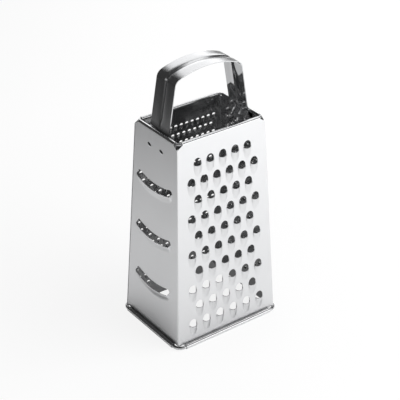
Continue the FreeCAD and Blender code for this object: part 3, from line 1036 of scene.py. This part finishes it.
@dataclass
class HandleStrap:
    """The bent strap with its pressed groove; half of it is swept and then mirrored."""

    form: BodyForm
    node: str = "handle_strap"
    top: float = 0.2335
    arch_radius: float = 0.078
    arch_steps: int = 16
    shoulder_radius: float = 0.007
    shoulder_steps: int = 8
    lean: float = math.radians(9.5)
    gauge: float = 0.0008
    groove_width: float = 0.0042
    groove_depth: float = 0.0012
    groove_steps: int = 8
    groove_fade: float = 0.0048
    groove_end: float = 0.1885
    jog_top: float = 0.1800
    foot_top: float = 0.1735

    @property
    def rim_x(self) -> float:
        """Where the leg's outer face passes the top bead."""
        return self.form.top_wire_distance(False) - self.form.top_bead / 2 - self.form.seat_gap

    def groove_dip(self, y: float) -> float:
        """Work out how deep the groove is.

        Args:
            y: The place across the strap.

        Returns:
            The depth there.
        """
        half = self.groove_width / 2
        if abs(y) >= half:
            return 0.0
        return self.groove_depth * (1 + math.cos(math.pi * y / half)) / 2

    def section(self) -> list[Vector]:
        """Work out the strap's outer line across the top of the arch.

        Returns:
            The points from one long edge to the other, with the groove between.
        """
        half = self.groove_width / 2
        edge = self.form.strap_width / 2
        across = [-edge, -edge / 2]
        across += [half * (2 * step / self.groove_steps - 1) for step in range(self.groove_steps + 1)]
        across += [edge / 2, edge]
        return [Vector((0.0, y, self.top - self.groove_dip(y))) for y in across]

    def leg_x(self, level: float) -> float:
        """Return where the leg's outer face is at a height."""
        return self.rim_x + (self.form.top_level - level) * math.tan(self.lean)

    def shoulder(self) -> tuple[Vector, float]:
        """Find the bend that joins the arch to the leg.

        Returns:
            The centre of the bend, and the angle where the arch meets it.
        """
        centre = Vector((0.0, 0.0, self.top - self.arch_radius))
        upward = Vector((-math.sin(self.lean), 0.0, math.cos(self.lean)))
        inward = Vector((-math.cos(self.lean), 0.0, -math.sin(self.lean)))
        start = Vector((self.rim_x, 0.0, self.form.top_level)) + inward * self.shoulder_radius - centre
        reach = self.arch_radius - self.shoulder_radius
        along = start.dot(upward)
        climb = math.sqrt(along ** 2 - start.dot(start) + reach ** 2) - along
        found = centre + start + upward * climb
        return found, math.atan2(found.x, found.z - centre.z)

    def sweep_arch(self, bm: BMesh) -> list[BMEdge]:
        """Sweep the section from the middle of the arch round one shoulder.

        Args:
            bm: The strap's skin.

        Returns:
            The line at the top of the leg.
        """
        across = Vector((0.0, 1.0, 0.0))
        middle = Vector((0.0, 0.0, self.top - self.arch_radius))
        centre, turn = self.shoulder()
        edges = spin_line(bm, polyline(bm, self.section()), middle, across, turn, self.arch_steps)
        rest = QUARTER_TURN - self.lean - turn
        return spin_line(bm, edges, centre, across, rest, self.shoulder_steps)

    def lower_leg(self, bm: BMesh, edges: list[BMEdge]) -> None:
        """Draw the strap down the leg, over the jog and along the foot.

        Args:
            bm: The strap's skin.
            edges: The line at the top of the leg.
        """
        form = self.form
        start = max(vert.co.z for edge in edges for vert in edge.verts)
        run = (start - self.groove_end - self.groove_fade) / math.cos(self.lean)
        verts, edges = extrude_line(bm, edges)
        down = Vector((math.sin(self.lean), 0.0, -math.cos(self.lean)))
        bmesh.ops.translate(bm, verts=verts, vec=down * run)
        for x, level in (
            (self.leg_x(self.groove_end), self.groove_end),
            (self.leg_x(self.jog_top), self.jog_top),
            (form.foot_distance(self.foot_top), self.foot_top),
            (form.foot_distance(form.foot_end), form.foot_end),
        ):
            verts, edges = extrude_line(bm, edges)
            for vert in verts:
                vert.co = (x, vert.co.y, level)

    def build(self, finish: SteelFinish, material: bpy.types.Material) -> bpy.types.Object:
        """Sweep half the strap, mirror it and give it its gauge.

        Args:
            finish: The strap's finish; not used.
            material: The material of that finish.

        Returns:
            The strap's piece.
        """
        bm = bmesh.new()
        self.lower_leg(bm, self.sweep_arch(bm))
        half = bm.verts[:] + bm.edges[:] + bm.faces[:]
        bmesh.ops.mirror(bm, geom=half, axis="X", merge_dist=MERGE_DISTANCE)
        bmesh.ops.remove_doubles(bm, verts=bm.verts[:], dist=MERGE_DISTANCE)
        bmesh.ops.recalc_face_normals(bm, faces=bm.faces[:])
        highest = max(bm.faces, key=lambda face: face.calc_center_median().z)
        if highest.normal.z < 0:
            bmesh.ops.reverse_faces(bm, faces=bm.faces[:])
        bmesh.ops.solidify(bm, geom=bm.faces[:], thickness=self.gauge)
        shade_smooth(bm)
        return finish_piece(bm, self.node, material)


@dataclass(frozen=True)
class SoftLamp:
    """A square soft lamp, with its place, the length of its side and its power in watts."""

    name: str
    place: Triple
    size: float
    power: float
    mirrored: bool = True

    def hang(self, target: Triple) -> None:
        """Hang the lamp so that it faces a point.

        Args:
            target: The point.
        """
        light = bpy.data.lights.new(self.name, "AREA")
        light.size = self.size
        light.energy = self.power
        lamp = add_object(self.name, light)
        lamp.location = self.place
        lamp.visible_glossy = self.mirrored
        aim = Vector(target) - Vector(self.place)
        lamp.rotation_euler = aim.to_track_quat("-Z", "Y").to_euler()


LAMPS = (
    SoftLamp("key", place=(1.0, -1.1, 1.5), size=2.0, power=84.0, mirrored=False),
    SoftLamp("front", place=(0.9, -1.5, 0.5), size=0.9, power=3.0),
    SoftLamp("top", place=(0.8, -0.1, 1.7), size=0.8, power=3.0),
    SoftLamp("back", place=(0.9, 1.2, 1.1), size=1.2, power=6.0),
)


@dataclass(frozen=True)
class WhiteFloor:
    """A white floor that takes the object's shadow, with painted shade that falls off far to the camera's
    left and dims it close to the object.
    """

    right_hand: Vector
    half_size: float = 3.0
    roughness: float = 0.9
    white_share: float = 0.9
    shade_near: float = -0.08
    shade_far: float = 0.85
    shade_share: float = 0.06
    camera_glow_share: float = 0.88
    glow_share: float = 0.55
    contact_near: float = 0.045
    contact_far: float = 0.1
    contact_glow_share: float = 0.15
    contact_shade_share: float = 0.88
    close_shade_start: float = 0.05
    close_shade_end: float = 0.4
    close_shade_share: float = 0.72

    def lay(self) -> None:
        """Lay the floor under the object."""
        bm = bmesh.new()
        bmesh.ops.create_grid(bm, x_segments=1, y_segments=1, size=self.half_size)
        mesh = to_mesh(bm, "floor")
        mesh.materials.append(self.material())
        ground = add_object("floor", mesh)

    def white_with_painted_shade(self, bench: NodeBench, reach: Socket, fall: Socket) -> Socket:
        """Work out the floor's white with painted shade: dimmer close to the object, darker still where it
        meets it, and falling off to the camera's left.

        Args:
            bench: Where the nodes are laid out.
            reach: The output with the distance from the object.
            fall: The output with the fall into shade.

        Returns:
            The output with the level of the white and its painted shade.
        """
        # Painted shade: the white is dimmer close to the object.
        close_shade = bench.ramp(reach, self.close_shade_start, self.close_shade_end, self.close_shade_share * self.white_share,
                          self.white_share)
        # Painted contact shade: the floor is darker still right round the object's base.
        foot = bench.ramp(reach, self.contact_near, self.contact_far, self.contact_shade_share, smooth=True)
        return bench.number("MULTIPLY", fall, bench.number("MULTIPLY", close_shade, foot))

    def glow_part(self, bench: NodeBench, reach: Socket, path: bpy.types.Node) -> Socket:
        """Work out how much of the floor glows white, for the camera and for metal; for metal the glow is
        cut down close to the object, a painted shade in the reflections.

        Args:
            bench: Where the nodes are laid out.
            reach: The output with the distance from the object.
            path: The Light Path node.

        Returns:
            The output with the glowing part.
        """
        # Painted shade in the reflections: near the object the floor glows less for metal.
        clear = bench.ramp(reach, self.contact_near, self.contact_far, self.contact_glow_share,
                           self.glow_share, smooth=True)
        in_metal = bench.number("MULTIPLY", bench.mirrored(path), clear)
        direct = bench.number("MULTIPLY", path.outputs["Is Camera Ray"], self.camera_glow_share)
        return bench.number("MAXIMUM", direct, in_metal)

    def material(self) -> bpy.types.Material:
        """Build the floor's finish: white for the camera and for metal, yet able to take a shadow, with
        painted shade close to the object and far to the camera's left.

        Returns:
            The new material.
        """
        white = bpy.data.materials.new("floor_white")
        white.use_nodes = True
        bench = NodeBench(white.node_tree)
        matt = white.node_tree.nodes["Principled BSDF"]
        matt.inputs["Roughness"].default_value = self.roughness
        matt.inputs["Specular IOR Level"].default_value = 0.0
        path = bench.add("LightPath")
        place = bench.add("TexCoord").outputs["Object"]
        across = bench.vector("DOT_PRODUCT", "Value", place, self.right_hand)
        reach = bench.vector("LENGTH", "Value", place)
        # Painted shade: the floor's white and its glow fall off far to the camera's left.
        fall = bench.ramp(across, -self.shade_far, -self.shade_near, self.shade_share, smooth=True)
        bench.feed(matt.inputs["Base Color"], self.white_with_painted_shade(bench, reach, fall))
        glow = bench.add("Emission")
        # The camera sees the glow at full strength; metal sees it fade to the left, a painted shade in the
        # reflections.
        bright = bench.number("MAXIMUM", fall, path.outputs["Is Camera Ray"])
        bench.feed(glow.inputs["Strength"], bright)
        mix = bench.add("MixShader")
        parts = (self.glow_part(bench, reach, path), matt.outputs["BSDF"], glow.outputs["Emission"])
        for socket, value in zip(mix.inputs, parts):
            bench.feed(socket, value)
        bench.feed(white.node_tree.nodes["Material Output"].inputs["Surface"], mix.outputs["Shader"])
        return white


@dataclass(frozen=True)
class Surroundings:
    """Dim surroundings, white to the camera, with a pale horizon that metal mirrors.

    The horizon's limits are the sines of heights, and it is dark round one direction.
    """

    grey_share: float = 0.05
    horizon_glow_share: float = 0.55
    horizon_start: float = 0.12
    horizon_full: float = 0.2
    horizon_top: float = 0.45
    dark_way: Triple = (-0.72, 0.69, 0.0)
    dark_cosine: float = 0.9
    clear_cosine: float = 0.65

    def horizon(self, bench: NodeBench) -> Socket:
        """Lay out the pale horizon.

        Args:
            bench: Where the nodes are laid out.

        Returns:
            The output that is 1 where the horizon is brightest.
        """
        way = bench.add("TexCoord").outputs["Generated"]
        height = bench.height(way)
        low = bench.ramp(height, self.horizon_top, self.horizon_full, smooth=True)
        high = bench.ramp(height, 0.0, self.horizon_start, smooth=True)
        toward = bench.vector("DOT_PRODUCT", "Value", way, self.dark_way)
        clear = bench.ramp(toward, self.dark_cosine, self.clear_cosine, smooth=True)
        return bench.number("MULTIPLY", bench.number("MULTIPLY", low, high), clear)

    def set_up(self) -> None:
        """Give the scene its world."""
        sky = bpy.data.worlds.new("studio")
        bpy.context.scene.world = sky
        sky.use_nodes = True
        bench = NodeBench(sky.node_tree)
        plain = sky.node_tree.nodes["Background"]
        plain.inputs["Color"].default_value = (1.0, 1.0, 1.0, 1.0)
        path = bench.add("LightPath")
        shine = bench.number("MULTIPLY", bench.mirrored(path), self.horizon(bench))
        level = bench.number("MULTIPLY_ADD", shine, self.horizon_glow_share, self.grey_share)
        seen = bench.number("MAXIMUM", level, path.outputs["Is Camera Ray"])
        bench.feed(plain.inputs["Strength"], seen)


@dataclass
class Studio:
    """The floor, the lamps, the surroundings and the camera at the photograph's place."""

    azimuth: float = math.radians(36.365)
    elevation: float = math.radians(30.593)
    distance: float = 1.044
    target: Triple = (0.0, 0.0, 0.1075)
    lens: float = 114.8

    @property
    def right_hand(self) -> Vector:
        """The direction to the camera's right."""
        return Vector((math.cos(self.azimuth), -math.sin(self.azimuth), 0.0))

    @property
    def toward_camera(self) -> Vector:
        """The direction from the object to the camera.

        Returns:
            A unit vector.
        """
        flat = math.cos(self.elevation)
        back_x = -math.sin(self.azimuth) * flat
        back_y = -math.cos(self.azimuth) * flat
        return Vector((back_x, back_y, math.sin(self.elevation)))

    def camera(self) -> None:
        """Place the camera where the photograph was taken from."""
        data = bpy.data.cameras.new("camera")
        data.lens = self.lens
        eye = add_object("camera", data)
        eye.location = Vector(self.target) + self.toward_camera * self.distance
        eye.rotation_euler = (-self.toward_camera).to_track_quat("-Z", "Y").to_euler()
        bpy.context.scene.camera = eye

    def build(self) -> None:
        """Set up the whole studio."""
        bpy.context.scene.view_settings.view_transform = "Standard"
        WhiteFloor(self.right_hand).lay()
        Surroundings().set_up()
        for lamp in LAMPS:
            lamp.hang(self.target)
        self.camera()


def build_panels(form: BodyForm) -> None:
    """Build the four panels.

    Args:
        form: The driving sizes.
    """
    material = PANEL_STEEL.material()
    for panel in (
        CoarsePanel(form, Side.FRONT, "front_coarse_panel"),
        SlicerPanel(form, Side.LEFT, "left_slicer_panel"),
        FinePanel(form, Side.BACK, "back_fine_panel"),
        ZesterPanel(form, Side.RIGHT, "right_zester_panel"),
    ):
        panel.build(PANEL_STEEL, material)


def build_wires(form: BodyForm) -> None:
    """Build the two rim wires.

    Args:
        form: The driving sizes.
    """
    material = WIRE_STEEL.material()
    for wire in (
        RimWire("top_rim_wire", form.top_wire_distance(False), form.top_wire_distance(True),
                form.top_level, form.top_wire, form.top_corner),
        RimWire("base_rim_wire", form.base_wire_distance(False), form.base_wire_distance(True),
                form.base_level, form.base_wire, form.base_corner),
    ):
        wire.build(WIRE_STEEL, material)


def main() -> None:
    """Build the grater and its studio."""
    logging.basicConfig(level=logging.INFO, format="%(name)s: %(message)s")
    form = BodyForm()
    build_panels(form)
    build_wires(form)
    HandleStrap(form).build(STRAP_STEEL, STRAP_STEEL.material())
    Studio().build()


if __name__ == "__main__":
    main()
